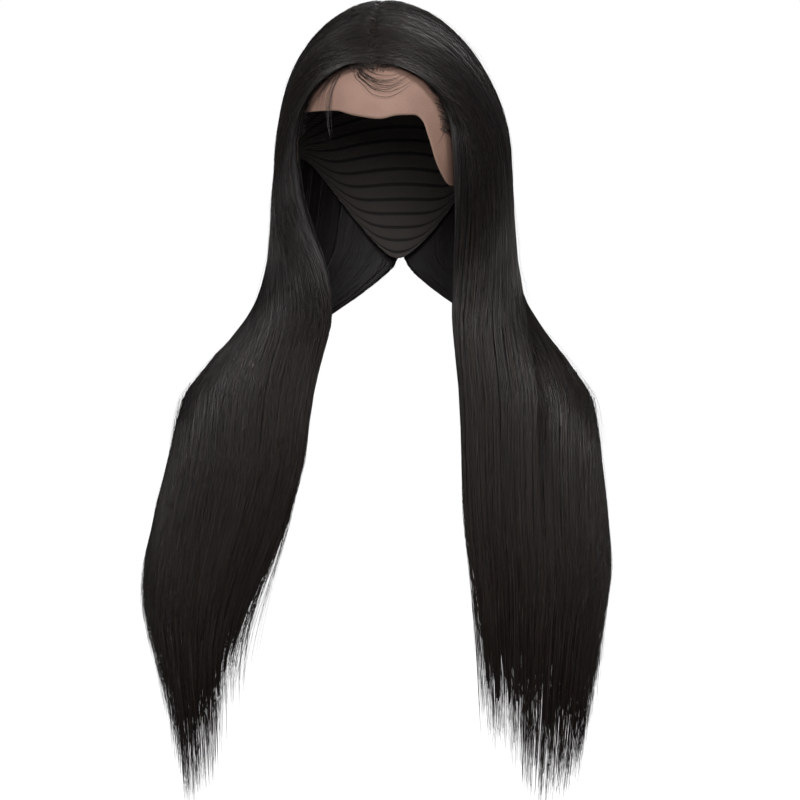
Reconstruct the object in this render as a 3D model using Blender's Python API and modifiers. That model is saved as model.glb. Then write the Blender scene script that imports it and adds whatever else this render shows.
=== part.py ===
# A lace front wig of long straight hair, in the form it keeps when it is worn.
# A net cap and a lace front fit the head. Six falls of hair lie over them, three on each side of
# the middle parting, and hang forward over the shoulders in locks that fork towards their tips.
# Metres, +Z up, the face looks along -Y. The origin is where the crown of the head touches the cap.

import math
from collections import namedtuple

import bmesh
import bpy
import numpy as np
from mathutils import Vector

# The head that the cap is made for
HEAD_WIDTH = 0.152
HEAD_DEPTH = 0.192
CROWN_RISE = 0.100  # from the head's widest level up to the crown
NAPE_RADIUS = 0.120  # the same radius for the half below that level

# Cap and lace
CAP_WALL = 0.0015
LACE_WALL = 0.0010
SEAM_GAP = 0.0004  # between the lace and the cap behind it
SEAM_AHEAD = 0.020  # how far in front of the head's middle the seam crosses the crown
SEAM_TURN = math.radians(100)  # how far the seam runs from the crown down to each ear
NAPE_RIM_DROP = 0.186  # the cap's rim at the nape, below the crown
EAR_RIM_DROP = 0.108  # the cap's rim behind the ears
EAR_AZIMUTH = math.radians(72)  # where that rim begins, from straight behind
LACE_EDGE_DROP = 0.080  # the highest part of the lace's cut edge, below the crown
LACE_TAB_DROP = 0.137  # the foot of the lace tab in front of each ear

# Hair on the head
FIT_GAP = 0.0004  # between two falls, and between the hair and what is under it
CROWN_HAIR = 0.009  # thickness on the crown
SIDE_HAIR_LEFT = 0.0110  # thickness over the ears
SIDE_HAIR_RIGHT = 0.0190
BACK_HAIR = 0.0115  # thickness at the back
BACK_SHIFT = 0.003  # the hair's dome sits this far behind the head's middle
RING_DROP = 0.120  # where the hair leaves the head, below the crown
HAIRLINE_TILT = math.radians(29.5)  # the hairline's middle, above straight ahead
PARTING_END_TILT = math.radians(126)  # the parting's end, behind the crown
ARCH_SHARE = 0.8  # how squarely the hairline rounds the temples
EDGE_AZIMUTH_LEFT = math.radians(47)  # the hair's front edge at the ring, from straight ahead
EDGE_AZIMUTH_RIGHT = math.radians(41)

# Hair below the head
SHOULDER_HALF = 0.170  # from the middle out to the hair's widest line on the shoulders
CHEST_REACH = 0.110  # from the head's middle forward to the hair on the chest
SHOULDER_DROP = 0.183  # from the ring down to the shoulders
HANG_LENGTH = 0.301  # from the shoulders down to the longest tips
FALL_HAIR = 0.020  # thickness on the chest
BEND_SHARE = 0.7  # the most that this thickness takes up of a bend's radius

# Locks
FALLS = (("front", 5), ("side", 4), ("back", 3))  # the falls of one side and their locks
LOCK_GROOVE = 0.0026  # depth of the groove between two locks on the chest
FALL_GROOVE = 0.0048  # the same between two falls
CROWN_GROOVE_SHARE = 0.4  # a groove on the crown, as a share of its depth on the chest
EDGE_HAIR_SHARE = 0.35  # thickness left at the hairline and at the free edges
FORK_LENGTH = 0.110  # how far above a fall's shortest tip its locks part
TIP_SHARE = 0.12  # width and thickness of a lock's end, as a share of the lock
TAPER_POWER = 1.8  # how late a lock narrows to its end

# Steps of the meshes
DOME_STEPS = 8
FALL_STEPS = 16
CROWDING_POWER = 1.3  # above 1, the rows of a fall lie closer together near the head
FACES_PER_LOCK = 3
CAP_ROWS, CAP_COLUMNS = 12, 26
LACE_ROWS, LACE_COLUMNS = 9, 32

# The lace's cut edge from the left ear to the right one: across is the place along it from -1 to 1,
# azimuth is in degrees from straight ahead, and drop goes from 0 at LACE_EDGE_DROP to 1 at
# LACE_TAB_DROP.
LaceCut = namedtuple("LaceCut", "across azimuth drop")
LACE_CUT = (
    LaceCut(-1.00, -70, 0.95),
    LaceCut(-0.86, -60, 0.80),
    LaceCut(-0.76, -56, 0.45),
    LaceCut(-0.66, -53, 0.12),
    LaceCut(-0.56, -48, 0.00),
    LaceCut(-0.28, -24, 0.02),
    LaceCut(-0.14, -11, 0.10),
    LaceCut(0.06, 4, 0.15),
    LaceCut(0.18, 14, 0.10),
    LaceCut(0.29, 24, 0.09),
    LaceCut(0.36, 29, 0.18),
    LaceCut(0.45, 32, 0.37),
    LaceCut(0.66, 39, 0.77),
    LaceCut(0.82, 50, 1.00),
    LaceCut(1.00, 68, 0.95),
)

# A level section through the hair of one side is an arc of an ellipse, from the front edge round
# to the back edge, with its angles in degrees from straight ahead.
Section = namedtuple("Section", "drop centre_x centre_y radius_x radius_y start end hair")

# From the ring to the jaw: drop is a share of SHOULDER_DROP, x and y are shares of the dome's
# radii, and hair is a share of the thickness over the ear.
NECK_LEFT = (
    Section(0.16, 0.00, 0.035, 1.035, 0.930, 42, 180, 1.20),
    Section(0.35, 0.00, 0.055, 1.060, 0.810, 30, 180, 1.25),
)
NECK_RIGHT = (
    Section(0.16, 0.00, 0.035, 1.010, 0.930, 41, 180, 0.90),
    Section(0.35, 0.00, 0.055, 1.030, 0.810, 38, 180, 0.80),
)

# From the jaw over the shoulders: drop is a share of SHOULDER_DROP, x a share of SHOULDER_HALF,
# y a share of CHEST_REACH, and hair a share of FALL_HAIR.
SHOULDER_LEFT = (
    Section(0.51, 0.06, 0.05, 0.535, 0.76, 19, 168, 0.75),
    Section(0.67, 0.19, 0.00, 0.482, 0.71, 6, 148, 0.75),
    Section(0.84, 0.32, -0.12, 0.523, 0.62, -3, 128, 0.80),
    Section(1.00, 0.38, -0.36, 0.565, 0.45, -6, 112, 0.90),
)
SHOULDER_RIGHT = (
    Section(0.51, 0.06, 0.05, 0.570, 0.76, 32, 168, 0.75),
    Section(0.67, 0.19, 0.00, 0.512, 0.71, 18, 148, 0.75),
    Section(0.84, 0.32, -0.12, 0.512, 0.62, 4, 128, 0.80),
    Section(1.00, 0.38, -0.36, 0.570, 0.45, 0, 112, 0.90),
)

# From the shoulders to the tips: drop is a share of HANG_LENGTH.
HANG_LEFT = (
    Section(0.13, 0.39, -0.55, 0.566, 0.34, -6, 102, 1.00),
    Section(0.29, 0.39, -0.67, 0.630, 0.29, 0, 98, 1.00),
    Section(0.42, 0.46, -0.75, 0.605, 0.25, 0, 95, 0.95),
    Section(0.55, 0.56, -0.79, 0.500, 0.23, 0, 93, 0.85),
    Section(0.71, 0.63, -0.82, 0.350, 0.20, 0, 90, 0.70),
    Section(0.87, 0.63, -0.84, 0.310, 0.17, 0, 90, 0.50),
    Section(1.00, 0.62, -0.85, 0.300, 0.155, 0, 90, 0.30),
)
HANG_RIGHT = (
    Section(0.13, 0.39, -0.55, 0.588, 0.34, 0, 102, 1.00),
    Section(0.29, 0.40, -0.67, 0.615, 0.29, 0, 98, 1.00),
    Section(0.42, 0.435, -0.75, 0.610, 0.25, 0, 95, 0.95),
    Section(0.55, 0.465, -0.79, 0.565, 0.23, 0, 93, 0.85),
    Section(0.71, 0.49, -0.82, 0.510, 0.20, 0, 90, 0.70),
    Section(0.87, 0.51, -0.84, 0.445, 0.17, 0, 90, 0.50),
    Section(1.00, 0.52, -0.85, 0.400, 0.155, 0, 90, 0.30),
)

# How far the locks reach, from the front edge to the back edge at even steps, as shares of the
# whole way from the ring to the longest tips.
REACH_LEFT = (0.80, 0.96, 1.00, 0.93, 0.76)
REACH_RIGHT = (0.89, 0.97, 1.00, 0.97, 0.76)

# Colours, with the roughness of each finish
HAIR_COLOUR, HAIR_ROUGHNESS = (0.012, 0.010, 0.010, 1.0), 0.38
CAP_COLOUR, CAP_ROUGHNESS = (0.020, 0.018, 0.018, 1.0), 0.8
LACE_COLOUR, LACE_ROUGHNESS = (0.450, 0.300, 0.210, 1.0), 0.6

Side = namedtuple("Side", "name sign edge hair neck shoulder hang reach")
SIDES = (
    Side("left", -1, EDGE_AZIMUTH_LEFT, SIDE_HAIR_LEFT, NECK_LEFT, SHOULDER_LEFT, HANG_LEFT, REACH_LEFT),
    Side("right", 1, EDGE_AZIMUTH_RIGHT, SIDE_HAIR_RIGHT, NECK_RIGHT, SHOULDER_RIGHT, HANG_RIGHT,
         REACH_RIGHT),
)
LOCKS = sum(locks for name, locks in FALLS)

# The hair's underside stands off the head by the thicker wall, the gap, and the depth by which the
# flat faces between its corners dip.
half_turns = np.array([math.pi / LOCKS, math.pi / 2 / DOME_STEPS]) / 2
face_dip = float((HEAD_DEPTH / 2 * (1 - np.cos(half_turns))).sum())
under_hair = max(CAP_WALL, LACE_WALL) + FIT_GAP + face_dip
fall_length = SHOULDER_DROP + HANG_LENGTH


def unit(vectors):
    return vectors / np.linalg.norm(vectors, axis=-1, keepdims=True)


def ease(share):
    """Rises smoothly from 0 to 1 as the share does."""
    share = np.clip(share, 0.0, 1.0)
    return share * share * (3.0 - 2.0 * share)


def along_curve(at, stops, values):
    """A smooth curve through (stops, values) that never swings past them, read at each place."""
    stops, values = np.asarray(stops, float), np.asarray(values, float)
    steps = np.diff(stops)
    rises = np.diff(values) / steps
    before, after = rises[:-1], rises[1:]
    same_way = before * after > 0
    total = np.where(same_way, before + after, 1.0)
    slopes = np.concatenate([rises[:1], np.where(same_way, 2 * before * after / total, 0.0), rises[-1:]])
    at = np.clip(at, stops[0], stops[-1])
    left = np.clip(np.searchsorted(stops, at, side="right") - 1, 0, len(stops) - 2)
    t = (at - stops[left]) / steps[left]
    start = (1 + 2 * t) * (1 - t) ** 2 * values[left] + t * (1 - t) ** 2 * steps[left] * slopes[left]
    end = t * t * (3 - 2 * t) * values[left + 1] + t * t * (t - 1) * steps[left] * slopes[left + 1]
    return start + end


def head_radii(below, wall):
    """The radii of the head grown by a wall, for the half above its widest level or below it."""
    rise = np.where(below, NAPE_RADIUS, CROWN_RISE)
    wide = np.full_like(rise, HEAD_WIDTH / 2)
    deep = np.full_like(rise, HEAD_DEPTH / 2)
    return np.stack([wide, deep, rise], axis=-1) + wall


def head_point(directions, wall):
    """Where a direction from the head's middle meets the head's surface, grown by a wall."""
    return directions * head_radii(directions[..., 2] < 0, wall) - np.array([0.0, 0.0, CROWN_RISE])


def clear_of_head(points):
    """Points nearer to the head than the hair's underside may come are moved out to it."""
    middle = np.array([0.0, 0.0, -CROWN_RISE])
    reach = points - middle
    share = np.linalg.norm(reach / head_radii(reach[..., 2] < 0, under_hair), axis=-1)
    return middle + reach / np.minimum(share, 1.0)[..., None]


# The cap and the lace

def rim_direction(azimuth, drop):
    """The direction in which the head's surface lies at this azimuth and this far below the crown."""
    rise = (CROWN_RISE - drop) / np.where(drop > CROWN_RISE, NAPE_RADIUS, CROWN_RISE)
    level = np.sqrt(1.0 - rise ** 2)
    return np.stack([level * np.sin(azimuth), -level * np.cos(azimuth), rise], axis=-1)


def seam_direction(across):
    """The seam of lace and cap, from one ear over the crown to the other."""
    ahead = SEAM_AHEAD / (HEAD_DEPTH / 2)
    level = math.sqrt(1.0 - ahead ** 2)
    turn = across * SEAM_TURN
    return np.stack([level * np.sin(turn), np.full_like(turn, -ahead), level * np.cos(turn)], axis=-1)


def lace_edge_direction(across):
    """The cut edge of the lace, across the forehead and down to the tabs in front of the ears."""
    table = LaceCut(*np.array(LACE_CUT, float).T)
    azimuth = np.radians(along_curve(across, table.across, table.azimuth))
    share = along_curve(across, table.across, table.drop)
    return rim_direction(azimuth, LACE_EDGE_DROP + (LACE_TAB_DROP - LACE_EDGE_DROP) * share)


def nape_rim_direction(across):
    """The cap's rim from behind one ear, down round the nape and up to the other."""
    azimuth = math.pi - across * EAR_AZIMUTH
    drop = NAPE_RIM_DROP - (NAPE_RIM_DROP - EAR_RIM_DROP) * ease(abs(across))
    return rim_direction(azimuth, drop)


def head_patch(name, first_edge, second_edge, rows, columns, inset, wall, colour, roughness):
    """A wall on the head between two edges that both run from ear to ear."""
    bpy.ops.mesh.primitive_grid_add(x_subdivisions=columns, y_subdivisions=rows, size=2.0)
    patch = bpy.context.object
    patch.name = name
    patch.data.name = name
    flat = np.array([v.co for v in patch.data.vertices])
    across, share = flat[:, 0], (flat[:, 1:2] + 1.0) / 2.0
    first, second = first_edge(across), second_edge(across)
    turn = np.arccos(np.clip((first * second).sum(axis=1, keepdims=True), -1.0, 1.0))
    share = inset / turn + share * (1.0 - inset / turn)
    directions = (np.sin((1 - share) * turn) * first + np.sin(share * turn) * second) / np.sin(turn)
    patch.data.vertices.foreach_set("co", head_point(directions, 0.0).astype(np.float32).ravel())
    patch.data.update()
    corner = patch.data.vertices[0].co + Vector((0.0, 0.0, CROWN_RISE))
    solidify = patch.modifiers.new("wall", "SOLIDIFY")
    solidify.thickness = wall
    solidify.offset = 1.0 if patch.data.polygons[0].normal.dot(corner) > 0 else -1.0
    finish(patch, colour, roughness)


# The hair

def dome_radii(side):
    return np.array([
        HEAD_WIDTH / 2 + under_hair + side.hair,
        HEAD_DEPTH / 2 + under_hair + BACK_HAIR,
        RING_DROP + under_hair + CROWN_HAIR,
    ])


def dome_direction(side, across, down):
    """The flow of the hair from the parting, where down is 0, to the ring, where it is 1."""
    tilt = HAIRLINE_TILT + (PARTING_END_TILT - HAIRLINE_TILT) * across
    azimuth = side.edge + (math.pi - side.edge) * across
    nothing = np.zeros_like(across)
    root = np.stack([nothing, -np.cos(tilt), np.sin(tilt)], axis=-1)
    leave = np.stack([np.sin(azimuth), -np.cos(azimuth), nothing], axis=-1)
    arch = ARCH_SHARE * (1.0 - across) ** 2
    bend = unit(root + leave + np.stack([arch, nothing, arch], axis=-1))
    down = down[..., None]
    return unit((1 - down) ** 2 * root + 2 * down * (1 - down) * bend + down ** 2 * leave)


def neck_end(side):
    """How far below the ring the two back falls part from each other."""
    return side.neck[-1].drop * SHOULDER_DROP


def sections_of(side):
    """The sections of one side from the ring down, all in metres, as one table."""
    wide, deep, high = dome_radii(side)
    ring = Section(0.0, 0.0, BACK_SHIFT, wide, deep, math.degrees(side.edge), 180, side.hair)
    table = [ring]
    for rows, above, run, x_size, y_size, thickness in (
        (side.neck, 0.0, SHOULDER_DROP, wide, deep, side.hair),
        (side.shoulder, 0.0, SHOULDER_DROP, SHOULDER_HALF, CHEST_REACH, FALL_HAIR),
        (side.hang, SHOULDER_DROP, HANG_LENGTH, SHOULDER_HALF, CHEST_REACH, FALL_HAIR),
    ):
        sizes = np.array([run, x_size, y_size, x_size, y_size, 1.0, 1.0, thickness])
        for row in rows:
            metres = Section(*(np.array(row) * sizes))
            table.append(metres._replace(drop=above + metres.drop))
    return Section(*np.array(table).T)


def hair_pair(side, across, down, drop):
    """The outer and the inner surface of one side's hair, before it is divided into locks."""
    direction = dome_direction(side, across, down)
    dome_outer = np.array([0.0, BACK_SHIFT, -RING_DROP]) + dome_radii(side) * direction
    dome_inner = head_point(direction, under_hair)

    table = sections_of(side)
    read = Section(*(along_curve(drop, table.drop, column) for column in table))
    turn = np.radians(read.start + (read.end - read.start) * across)
    fall_outer = np.stack([
        read.centre_x + read.radius_x * np.sin(turn),
        read.centre_y - read.radius_y * np.cos(turn),
        -RING_DROP - drop], axis=-1)
    outwards = unit(np.stack([
        np.sin(turn) / read.radius_x, -np.cos(turn) / read.radius_y, np.zeros_like(turn)], axis=-1))
    bend_radius = np.hypot(read.radius_x * np.cos(turn), read.radius_y * np.sin(turn)) ** 3 / (
        read.radius_x * read.radius_y)
    room = BEND_SHARE * bend_radius
    thickness = read.hair * room / np.hypot(read.hair, room)
    freed = ease(drop / neck_end(side))[..., None]
    through = (dome_inner - dome_outer) * (1 - freed) - outwards * thickness[..., None] * freed
    fall_inner = clear_of_head(fall_outer + through)

    on_head = (down < 1.0)[..., None]
    return np.where(on_head, dome_outer, fall_outer), np.where(on_head, dome_inner, fall_inner)


def lock_row(side, across, down, drop, groove, thin):
    """One row of outer and inner points, with the outer ones lowered by a groove or to an edge."""
    outer, inner = hair_pair(side, across, np.full_like(across, down), np.full_like(across, drop))
    through = inner - outer
    depth = np.linalg.norm(through, axis=-1)
    hanging = ease(drop / SHOULDER_DROP)
    groove = groove * (CROWN_GROOVE_SHARE + (1 - CROWN_GROOVE_SHARE) * hanging)
    lowered = np.where(thin, 1 - EDGE_HAIR_SHARE, np.minimum(groove / depth, 1 - EDGE_HAIR_SHARE))
    raised = np.where(thin, hanging * lowered / 2, 0.0)
    pair = (outer + through * (lowered - raised)[..., None], inner - through * raised[..., None])
    for row in pair:
        row[..., 0] = FIT_GAP / 2 + row[..., 0] * (1.0 - FIT_GAP / HEAD_WIDTH)
    return pair


def draw_in(pair):
    """Draws the two ends of a row in by half the gap between falls."""
    for row in pair:
        for end, beside in ((0, 1), (-1, -2)):
            row[end] += unit(row[beside] - row[end]) * FIT_GAP / 2
    return pair


def add_row(solid, side, pair):
    """The row's corners: all of the outer ones, and the inner ones at the edges of the locks."""
    outer, inner = pair
    return [
        [solid.verts.new((side.sign * x, y, z)) for x, y, z in points]
        for points in (outer, inner[::FACES_PER_LOCK])
    ]


def join_rows(solid, upper, lower):
    """Skins and side walls from one row to the next; a wall's two faces share one diagonal."""
    for above, below in zip(upper, lower):
        for a, b, c, d in zip(above, above[1:], below[1:], below):
            solid.faces.new((a, b, c, d))
    (outer_above, inner_above), (outer_below, inner_below) = upper, lower
    for end in (0, -1):
        solid.faces.new((outer_above[end], outer_below[end], inner_below[end]))
        solid.faces.new((outer_above[end], inner_below[end], inner_above[end]))


def fall_of_hair(name, side, first, locks):
    """One closed solid: locks side by side that share their grooves, then part and taper to tips."""
    corners = np.arange(locks * FACES_PER_LOCK + 1)
    across = (first + corners / FACES_PER_LOCK) / LOCKS
    groove = np.where(corners % FACES_PER_LOCK == 0, LOCK_GROOVE, 0.0)
    groove[[0, -1]] = FALL_GROOVE
    free = np.zeros(len(corners), bool)
    free[0], free[-1] = first == 0, first + locks == LOCKS

    stops = np.linspace(0.0, 1.0, len(side.reach))
    middles = (first + np.arange(locks) + 0.5) / LOCKS
    tips = along_curve(middles, stops, side.reach) * fall_length
    levels = fall_length * np.linspace(0.0, 1.0, FALL_STEPS + 1) ** CROWDING_POWER
    whole = levels[levels <= tips.min() - FORK_LENGTH]
    split = tips.min() - FORK_LENGTH

    solid = bmesh.new()
    places = [(down, 0.0) for down in np.linspace(0.0, 1.0, DOME_STEPS + 1)[:-1]]
    places += [(1.0, drop) for drop in whole]
    rows = []
    for down, drop in places:
        thin = free.copy()
        thin[-1] &= drop > neck_end(side)
        pair = lock_row(side, across, down, drop, groove, thin)
        rows.append(add_row(solid, side, draw_in(pair)))
    for upper, lower in zip(rows, rows[1:]):
        join_rows(solid, upper, lower)
    root_outer, root_inner = rows[0]
    for lock in range(locks):
        start = lock * FACES_PER_LOCK
        root = root_outer[start:start + FACES_PER_LOCK + 1]
        solid.faces.new(root[::-1] + root_inner[lock:lock + 2])

    # Below the fork each lock goes on by itself and tapers to its tip.
    for lock in range(locks):
        own = slice(lock * FACES_PER_LOCK, (lock + 1) * FACES_PER_LOCK + 1)
        upper = [rows[-1][0][own], rows[-1][1][lock:lock + 2]]
        below = [drop for drop in levels if whole[-1] < drop < tips[lock] - levels[1]] + [tips[lock]]
        for drop in below:
            share = max(drop - split, 0.0) / (tips[lock] - split)
            width = 1.0 - (1.0 - TIP_SHARE) * share ** TAPER_POWER
            narrowed = middles[lock] + (across[own] - middles[lock]) * width
            pair = lock_row(side, narrowed, 1.0, drop, groove[own] * width, free[own])
            heart = (pair[0].mean(axis=0) + pair[1].mean(axis=0)) / 2
            pair = [heart + (row - heart) * [1.0, width, 1.0] for row in pair]
            lower = add_row(solid, side, draw_in(pair))
            join_rows(solid, upper, lower)
            upper = lower
        solid.faces.new(upper[0] + upper[1][::-1])

    bmesh.ops.recalc_face_normals(solid, faces=solid.faces)
    if solid.calc_volume(signed=True) < 0:
        bmesh.ops.reverse_faces(solid, faces=solid.faces)
    mesh = bpy.data.meshes.new(name)
    solid.to_mesh(mesh)
    solid.free()
    fall = bpy.data.objects.new(name, mesh)
    bpy.context.scene.collection.objects.link(fall)
    finish(fall, HAIR_COLOUR, HAIR_ROUGHNESS)


def finish(part, colour, roughness):
    """Gives a part its own material and smooth shading, and files it under the wig."""
    material = bpy.data.materials.new(part.name)
    material.use_nodes = True
    shader = material.node_tree.nodes["Principled BSDF"]
    shader.inputs["Base Color"].default_value = colour
    shader.inputs["Roughness"].default_value = roughness
    shader.inputs["Metallic"].default_value = 0.0
    part.data.materials.append(material)
    part.data.shade_smooth()
    for collection in list(part.users_collection):
        collection.objects.unlink(part)
    wig.objects.link(part)


for old in list(bpy.data.objects):
    bpy.data.objects.remove(old)
wig = bpy.data.collections.new("lace_front_wig")
bpy.context.scene.collection.children.link(wig)

head_patch("lace_front", seam_direction, lace_edge_direction, LACE_ROWS, LACE_COLUMNS,
           SEAM_GAP / CROWN_RISE, LACE_WALL, LACE_COLOUR, LACE_ROUGHNESS)
head_patch("cap", seam_direction, nape_rim_direction, CAP_ROWS, CAP_COLUMNS,
           0.0, CAP_WALL, CAP_COLOUR, CAP_ROUGHNESS)
for side in SIDES:
    first_lock = 0
    for fall_name, lock_count in FALLS:
        fall_of_hair(f"{fall_name}_hair_{side.name}", side, first_lock, lock_count)
        first_lock += lock_count
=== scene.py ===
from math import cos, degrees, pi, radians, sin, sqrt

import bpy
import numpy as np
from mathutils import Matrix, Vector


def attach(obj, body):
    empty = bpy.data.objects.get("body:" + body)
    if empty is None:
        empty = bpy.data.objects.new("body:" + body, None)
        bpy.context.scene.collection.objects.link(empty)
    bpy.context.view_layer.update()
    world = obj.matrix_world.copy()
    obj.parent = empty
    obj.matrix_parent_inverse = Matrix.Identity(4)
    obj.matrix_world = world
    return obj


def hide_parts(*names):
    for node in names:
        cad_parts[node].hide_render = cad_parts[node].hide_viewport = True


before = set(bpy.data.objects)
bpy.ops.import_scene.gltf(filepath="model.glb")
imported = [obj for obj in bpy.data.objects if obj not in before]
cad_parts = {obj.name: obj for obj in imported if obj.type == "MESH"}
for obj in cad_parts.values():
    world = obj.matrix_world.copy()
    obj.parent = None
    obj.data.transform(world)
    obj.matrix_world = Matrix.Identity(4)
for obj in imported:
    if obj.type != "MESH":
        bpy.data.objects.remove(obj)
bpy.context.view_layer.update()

# The looks of a lace front wig of long straight hair: a core, strands and tips for each fall of
# hair, the hairs at the hairline and on the lace, the net cap and the lace itself.
# Metres, +Z up, the hairline is towards -Y, and the cap's inner form has its top at the origin.

rng = np.random.default_rng(26)
print("frame loaded")


# Shader maths as expressions

class Signal:
    # a node's output socket: each operator adds one Math node
    def __init__(self, finish, socket):
        self.finish, self.socket = finish, socket

    def math(self, operation, *others):
        values = dict(enumerate((self,) + others))
        return self.finish.node("ShaderNodeMath", {"operation": operation}, values)

    def __add__(self, other):
        return self.math("ADD", other)

    def __sub__(self, other):
        return self.math("SUBTRACT", other)

    def __rsub__(self, other):
        return self.finish.node("ShaderNodeMath", {"operation": "SUBTRACT"}, {0: other, 1: self})

    def __mul__(self, other):
        return self.math("MULTIPLY", other)

    def __pow__(self, other):
        return self.math("POWER", other)

    __radd__ = __add__
    __rmul__ = __mul__

    def sine(self):
        return self.math("SINE")

    def size(self):
        return self.math("ABSOLUTE")

    def whole(self):
        return self.math("FLOOR")

    def remap(self, low, high, toLow=0.0, toHigh=1.0):
        # runs from toLow at low to toHigh at high, with soft ends
        values = {"Value": self, "From Min": low, "From Max": high, "To Min": toLow, "To Max": toHigh}
        return self.finish.node("ShaderNodeMapRange", {"interpolation_type": "SMOOTHSTEP"}, values)


class Finish:
    # one Principled material; constants are set on its sockets, and patterns are linked to them
    def __init__(self, name, **constants):
        self.material = bpy.data.materials.new(name)
        self.material.use_nodes = True
        self.tree = self.material.node_tree
        self.shader = self.tree.nodes["Principled BSDF"]
        self.set(**constants)

    def set(self, **values):
        for name, value in values.items():
            self.feed(self.shader.inputs[name.replace("_", " ")], value)

    def feed(self, socket, value):
        if isinstance(value, Signal):
            self.tree.links.new(value.socket, socket)
        elif isinstance(value, tuple) and len(value) == 3 and socket.type == "RGBA":
            socket.default_value = value + (1.0,)
        else:
            socket.default_value = value

    def node(self, kind, settings, values, output=0):
        made = self.tree.nodes.new(kind)
        for name, value in settings.items():
            setattr(made, name, value)
        for name, value in values.items():
            self.feed(made.inputs[name], value)
        return Signal(self, made.outputs[output])

    def place(self):
        return self.node("ShaderNodeTexCoord", {}, {}, "Object")

    def onMap(self):
        # the two numbers of the piece's own map
        spot = self.node("ShaderNodeUVMap", {"uv_map": "OFBake"}, {})
        across = self.node("ShaderNodeSeparateXYZ", {}, {0: spot}, "X")
        return across, Signal(self, across.socket.node.outputs["Y"])

    def vector(self, x, y, z=0.0):
        return self.node("ShaderNodeCombineXYZ", {}, {"X": x, "Y": y, "Z": z})

    def noise(self, spot, scale, detail=2.0, roughness=0.5):
        values = {"Vector": spot, "Scale": scale, "Detail": detail, "Roughness": roughness}
        return self.node("ShaderNodeTexNoise", {}, values, "Fac")

    def streaks(self, x, y, scales, detail=2.0, roughness=0.5):
        # noise with its own scale along each axis of the map
        return self.noise(self.vector(x * scales[0], y * scales[1]), 1.0, detail, roughness)

    def chance(self, number):
        return self.node("ShaderNodeTexWhiteNoise", {"noise_dimensions": "1D"}, {"W": number}, "Value")

    def mix(self, share, first, second):
        # the colour mix's own sockets: 0 its factor, 6 and 7 its colours, and 2 its colour result
        return self.node("ShaderNodeMix", {"data_type": "RGBA"}, {0: share, 6: first, 7: second}, 2)

    def bump(self, height, strength, distance):
        values = {"Height": height, "Strength": strength, "Distance": distance}
        return self.node("ShaderNodeBump", {}, values)


# Meshes from arrays

def makePiece(name, points, quads, spots, finish, triangles=None):
    # points (n, 3), quads (m, 4), triangles (k, 3) and each point's place on the piece's map (n, 2)
    triangles = np.zeros((0, 3), int) if triangles is None else triangles
    corners = np.concatenate([quads.ravel(), triangles.ravel()]).astype(np.int32)
    starts = np.concatenate([np.arange(len(quads)) * 4, quads.size + np.arange(len(triangles)) * 3])
    mesh = bpy.data.meshes.new(name)
    mesh.vertices.add(len(points))
    mesh.vertices.foreach_set("co", points.astype(np.float32).ravel())
    mesh.loops.add(len(corners))
    mesh.loops.foreach_set("vertex_index", corners)
    mesh.polygons.add(len(starts))
    mesh.polygons.foreach_set("loop_start", starts.astype(np.int32))
    mesh.update(calc_edges=True)
    layer = mesh.uv_layers.new(name="OFBake")
    layer.data.foreach_set("uv", spots[corners].astype(np.float32).ravel())
    mesh.shade_smooth()
    piece = bpy.data.objects.new(name, mesh)
    bpy.context.scene.collection.objects.link(piece)
    piece.data.materials.append(finish.material)
    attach(piece, "root")
    return piece


def unit(vectors):
    # each vector over its length
    return vectors / np.maximum(np.linalg.norm(vectors, axis=-1, keepdims=True), 1e-12)


def ease(share):
    # 3s^2 - 2s^3, from 0 to 1
    share = np.clip(share, 0.0, 1.0)
    return share * share * (3.0 - 2.0 * share)


def rising(at, start, run):
    # 0 up to the start, 1 from start + run on, and eased between them
    return ease((at - start) / run)


def between(pair, share):
    # low + (high - low) * share
    low, high = pair
    return low + (high - low) * share


def each(count):
    # a random share for each hair
    return rng.random((count, 1))


def chosen(pair, count):
    # a random place between the two values for each hair
    return between(pair, each(count))


def alongCurve(at, stops, values):
    # a cubic through (stops, values) whose slope at a stop is the harmonic mean of the rises beside it
    stops, values = np.asarray(stops, float), np.asarray(values, float)
    steps = np.diff(stops)
    rises = np.diff(values) / steps
    before, after = rises[:-1], rises[1:]
    sameWay = before * after > 0
    total = np.where(sameWay, before + after, 1.0)
    slopes = np.concatenate([rises[:1], np.where(sameWay, 2 * before * after / total, 0.0), rises[-1:]])
    at = np.clip(at, stops[0], stops[-1])
    left = np.clip(np.searchsorted(stops, at, side="right") - 1, 0, len(stops) - 2)
    t = (at - stops[left]) / steps[left]
    start = (1 + 2 * t) * (1 - t) ** 2 * values[left] + t * (1 - t) ** 2 * steps[left] * slopes[left]
    end = t * t * (3 - 2 * t) * values[left + 1] + t * t * (t - 1) * steps[left] * slopes[left + 1]
    return start + end


tubeSides = 3


def tubes(paths, outwards, widths, thickness):
    # A flat tube along each path (k, n, 3): corner j of 3 sits at angle 2 pi (j + 1/4) / 3, widths
    # across the strand and widths * thickness outwards; both ends are closed.
    count, steps = paths.shape[:2]
    along = unit(np.gradient(paths, axis=1))
    across = unit(np.cross(along, outwards))
    up = np.cross(across, along)
    corner = np.arange(tubeSides)
    turn = 2 * pi * (corner + 0.25) / tubeSides
    half = widths[..., None, None] / 2
    ring = across[:, :, None] * np.cos(turn)[:, None] + up[:, :, None] * np.sin(turn)[:, None] * thickness
    points = paths[:, :, None] + ring * half
    first = (np.arange(count)[:, None, None] * steps + np.arange(steps - 1)[:, None]) * tubeSides
    second = first + tubeSides
    following = (corner + 1) % tubeSides
    quads = np.stack([first + corner, first + following, second + following, second + corner], -1)
    starts = np.arange(count)[:, None] * steps * tubeSides
    ends = starts + (steps - 1) * tubeSides
    caps = np.concatenate([starts + corner[::-1], ends + corner])
    return points.reshape(-1, 3), quads.reshape(-1, 4), caps


# The form of the hair, which follows the frame

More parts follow.
